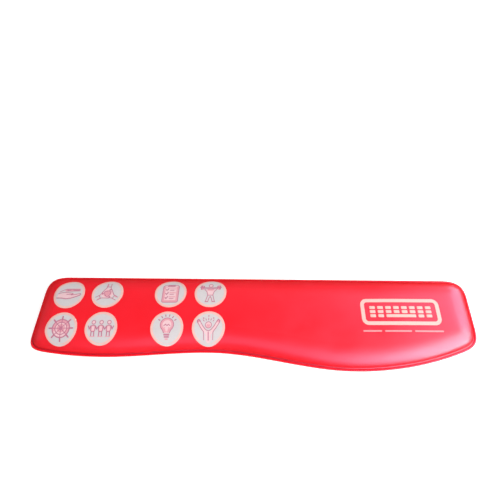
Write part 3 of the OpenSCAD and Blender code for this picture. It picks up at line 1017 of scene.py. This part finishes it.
def raised_hands():
    """A figure with both arms raised under a burst of sparks."""
    side = [
        fill(rounded_box(10.2, 6.6, 2.6, 3.2, 1.2), MID),
        line([(9.6, 5.2), (6.8, 0.4), (4.0, -2.8), (2.6, -5.6)], 2.2, PALE),
        line([(11.3, 5.2), (7.6, -0.8), (4.9, -4.2), (4.6, -11.4)]),
        line([(8.8, 6.6), (5.6, 1.2), (2.9, -2.0), (0, -3.4)]),
        line([(11.3, 5.2), (11.5, 7.2), (10.1, 8.2), (8.8, 6.6)], THICK),
        fill(circle(5.2, 9.6, 0.8)),
        line([(4.6, 6.4), (5.6, 7.8)]),
    ]
    return mirrored(side) + [
        fill(circle(0, 2.6, 3.2), PALE),
        fill(circle(0, 2.2, 1.9), MID),
        loop(circle(0, 2.6, 3.1)),
        line([(0, -6.0), (0, -11.4)], 5.4, PALE),
        line([(0, -4.6), (0, -11.6)], THICK),
        line([(0, 7.6), (0, 9.6)]),
        *[line([(2.3 * side, 7.3), (2.9 * side, 8.9)]) for side in (-1, 1)],
        fill(circle(0, 11.9, 0.8)),
    ]


PICTOGRAMS = {
    "open_hand": open_hand, "joined_hands": joined_hands, "checklist": checklist,
    "barbell": barbell, "helm_wheel": helm_wheel, "people_row": people_row,
    "light_bulb": light_bulb, "raised_hands": raised_hands,
}


def joined(parts):
    """One list of points and one of faces from several."""
    points, faces, start = [], [], 0
    for some_points, some_faces in parts:
        faces += [tuple(start + i for i in face) for face in some_faces]
        points.append(some_points)
        start += len(some_points)
    return np.concatenate(points), faces


def make_roundel(name, draw, inks):
    """A roundel's film, the ring printed round its edge and its pictogram."""
    white, rim, *ink_materials = inks
    node = "roundel_" + name
    low, high = box_mm(node)
    middle, radius = (low[:2] + high[:2]) / 2, (high[0] - low[0]) / 2
    top = PRINT_GAP + PRINT_T
    outline = middle + circle(0, 0, radius)
    film = patch(outline, PRINT_GAP, top, edge_lift=PRINT_GAP + FILM_RIM_T)
    make_piece(node + "_film", *film, [white], "print_white", node)
    edge = middle + circle(0, 0, radius - RING_W / 2 - RING_MARGIN)
    ring = ribbon(edge, RING_W, top - INK_ROOT, top + INK_T, closed=True)
    make_piece(node + "_ring", *ring, [rim], "print_white")
    parts, picks = [], []
    for number, (ink, points, width, closed) in enumerate(draw()):
        places = middle + turned(points)
        lift = top + INK_T + INK_STEP * (PALE - ink) + OVERLAP_STEP * number
        if width is None:
            made = patch(spaced(places, 1, True), top - INK_ROOT, lift, step=1.0)
        else:
            made = ribbon(places, width, top - INK_ROOT, lift, closed)
        parts.append(made)
        picks += [ink] * len(made[1])
    make_piece(node + "_ink", *joined(parts), ink_materials, "print_line", picks=picks)


SIGN_X, SIGN_Y, SIGN_W, SIGN_D = 154.5, 3.5, 80.5, 28.8
SIGN_LINE, SIGN_CORNER_R = 3.8, 5
KEY_COLUMNS, KEY_ROWS, KEY_FILL, SPACE_KEYS, KEY_CORNER_R = 8, 3, 0.7, 4, 0.7
RULE_Y, RULE_W, RULE_GAP, RULE_PARTS = -17, 1.6, 3, (0.27, 0.37, 0.36)


def make_sign(white, pale):
    """The keyboard sign at the right end: a frame, its keys and three plain rules."""
    low, high = PRINT_GAP, PRINT_GAP + PRINT_T
    middle = np.array([SIGN_X, SIGN_Y])

    def placed(points):
        return turned(middle + points)

    frame_path = rounded_box(0, 0, SIGN_W - SIGN_LINE, SIGN_D - SIGN_LINE, SIGN_CORNER_R)
    make_piece("end_sign_frame", *ribbon(placed(frame_path), SIGN_LINE, low, high, closed=True),
               [white], "print_white", "end_sign")
    inner = np.array([SIGN_W, SIGN_D]) - 4 * SIGN_LINE
    pitch = inner / (KEY_COLUMNS, KEY_ROWS)
    first = (KEY_COLUMNS - SPACE_KEYS) // 2
    runs = [(c, c, r) for r in range(1, KEY_ROWS) for c in range(KEY_COLUMNS)]
    runs += [(c, c, 0) for c in [*range(first), *range(KEY_COLUMNS - first, KEY_COLUMNS)]]
    runs.append((first, first + SPACE_KEYS - 1, 0))
    keys = []
    for a, b, r in runs:
        x = -inner[0] / 2 + ((a + b) / 2 + 0.5) * pitch[0]
        y = -inner[1] / 2 + (r + 0.5) * pitch[1]
        outline = rounded_box(x, y, (b - a + KEY_FILL) * pitch[0], KEY_FILL * pitch[1], KEY_CORNER_R)
        outline = placed(spaced(outline, 1, True))
        keys.append(patch(outline, low, high, step=1.2, edge_lift=low + FILM_RIM_T))
    make_piece("end_sign_keys", *joined(keys), [white], "print_white", "end_sign")
    rules, start = [], -SIGN_W / 2
    for number, share in enumerate(RULE_PARTS):
        gap = RULE_GAP if number < len(RULE_PARTS) - 1 else 0
        ends = [start + RULE_W / 2, start + SIGN_W * share - gap - RULE_W / 2]
        rules.append(ribbon(placed([(x, RULE_Y - SIGN_Y) for x in ends]), RULE_W, low, high))
        start += SIGN_W * share
    make_piece("end_sign_rules", *joined(rules), [pale], "print_white", "end_sign")


COVER_TREE = make_cover()
make_gel()
make_foam()
make_base()

# Name, colour, darker shade and roughness of each ink
ROUNDEL_INKS = (
    ("roundel_white", (0.615, 0.585, 0.63), (0.575, 0.555, 0.59), 0.5),
    ("roundel_rim", (0.84, 0.51, 0.47), (0.78, 0.45, 0.43), 0.45),
    ("pictogram_ink", (0.48, 0.15, 0.25), (0.55, 0.20, 0.31), 0.5),
    ("pictogram_mid", (0.74, 0.34, 0.42), (0.68, 0.30, 0.38), 0.5),
    ("pictogram_pale", (0.80, 0.56, 0.62), (0.75, 0.50, 0.56), 0.5),
)
SIGN_INKS = (
    ("sign_white", (0.72, 0.47, 0.45), (0.68, 0.43, 0.41), 0.5),
    ("sign_pale_red", (0.92, 0.26, 0.30), (0.86, 0.21, 0.25), 0.5),
)
INKS = [make_material(name, print_recipe, *look) for name, *look in ROUNDEL_INKS]
for name, draw in PICTOGRAMS.items():
    make_roundel(name, draw, INKS)
make_sign(*[make_material(name, print_recipe, *look) for name, *look in SIGN_INKS])

CARRIED = (
    ("base_adhesive_sheet", "milky_adhesive", adhesive_recipe),
    ("foam_adhesive_film", "milky_adhesive", adhesive_recipe),
    ("stiffener_board", "grey_fibre_board", board_recipe),
    ("gel_lower_film", "clear_film", gel_film_recipe),
    ("gel_upper_film", "clear_film", gel_film_recipe),
)
for node, *look in CARRIED:
    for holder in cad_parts[node].material_slots:
        holder.material = make_material(*look)


# ---- studio
WARM_WHITE, MIXED_WHITE, ROSE_WHITE = (1.0, 0.98, 0.88), (0.96, 0.86, 1.0), (0.95, 0.80, 1.0)


def by_ray(tree, seen, mirrored, otherwise):
    """A value that depends on the ray: straight from the camera, off a glossy surface, or other."""
    path = add(tree, "LightPath").outputs
    value = ramp(tree, path["Is Glossy Ray"], otherwise, mirrored)
    return add(tree, "Mix", {0: path["Is Camera Ray"], 2: value, 3: seen}, data_type="FLOAT").outputs[0]


def floor_recipe(tree):
    """White, but a glossy surface sees it as dark, so that it doesn't wash out the red."""
    shade = by_ray(tree, seen=0.86, mirrored=0.03, otherwise=0.7)
    return dict(
        Base_Color=add(tree, "CombineColor", {0: shade, 1: shade, 2: shade}).outputs[0],
        Roughness=0.8, Specular_IOR_Level=0.0, Emission_Color=(1, 1, 1, 1),
        Emission_Strength=by_ray(tree, seen=0.5, mirrored=0.0, otherwise=0.1),
    )


def make_floor():
    """A wide floor under the pad."""
    mesh = bpy.data.meshes.new("floor")
    mesh.from_pydata([(-6, -6, 0), (6, -6, 0), (6, 6, 0), (-6, 6, 0)], [], [(0, 1, 2, 3)])
    mesh.materials.append(make_material("pale_floor", floor_recipe))
    new_object("floor", mesh)


def make_lamp(name, place, aim, size, radiance, colour, mirrored=True, lights=True):
    """A soft box: a rectangle of light at a place, turned to its aim, in metres. It leaves a
    highlight if it is mirrored, and a shade of its own if it lights."""
    data = bpy.data.lights.new(name, "AREA")
    data.shape = "RECTANGLE"
    data.size, data.size_y = size
    data.energy = radiance * math.pi * size[0] * size[1]
    data.color = colour
    lamp = new_object(name, data)
    lamp.location = place
    lamp.rotation_euler = (Vector(aim) - Vector(place)).to_track_quat("-Z", "Y").to_euler()
    lamp.visible_glossy, lamp.visible_diffuse = mirrored, lights


def make_world():
    """A white surround, which glossy surfaces see as dim."""
    world = bpy.data.worlds.new("studio")
    world.use_nodes = True
    tree = world.node_tree
    inputs = tree.nodes["Background"].inputs
    put(tree, inputs["Strength"], by_ray(tree, seen=1.0, mirrored=0.04, otherwise=0.33))
    put(tree, inputs["Color"], (1, 1, 1, 1))
    scene.world = world


def make_camera():
    data = bpy.data.cameras.new("camera")
    data.sensor_width, data.lens = 36, 30.76
    data.clip_start = 0.01
    data.shift_x, data.shift_y = -0.001, 0.001
    camera = new_object("camera", data)
    camera.location = (0.0189, -0.1834, 0.4260)
    camera.rotation_euler = [math.radians(turn) for turn in (32.874, 1.865, 1.673)]
    scene.camera = camera


make_floor()
make_lamp("key", (1.15, -0.3, 0.6), (0.1, 0, 0), (1.3, 0.8), 10.0, WARM_WHITE, mirrored=False)
make_lamp("window", (1.09, -0.48, 0.64), (0.2, -0.03, 0), (1.3, 0.9), 7.5, WARM_WHITE, lights=False)
make_lamp("low_window", (1.10, -0.74, 0.17), (0.2, -0.03, 0), (0.7, 0.3), 9.8, WARM_WHITE, lights=False)
make_lamp("right", (1.15, 0.47, 0.52), (0.2, 0, 0), (0.75, 0.9), 4.6, MIXED_WHITE, lights=False)
make_lamp("low_back_right", (0.89, 0.86, 0.27), (0.2, 0.03, 0), (0.5, 0.4), 5.2, MIXED_WHITE, lights=False)
make_lamp("back_right", (0.85, 0.5, 1.0), (0.1, 0, 0), (1.0, 0.8), 2.0, MIXED_WHITE, lights=False)
make_lamp("front_right", (0.60, -0.88, 0.76), (0.15, 0, 0), (0.7, 0.7), 3.7, MIXED_WHITE, lights=False)
make_lamp("front", (-0.05, -1.1, 1.1), (0, 0, 0), (1.2, 0.7), 1.25, ROSE_WHITE)
make_lamp("left_fill", (-1.15, -0.1, 0.5), (-0.2, 0, 0), (0.9, 0.7), 1.7, WARM_WHITE, mirrored=False)
make_lamp("back_fill", (0.1, 1.1, 0.9), (0, 0, 0), (1.4, 1.0), 1.0, WARM_WHITE, mirrored=False)
make_world()
make_camera()
scene.view_settings.view_transform = "Standard"
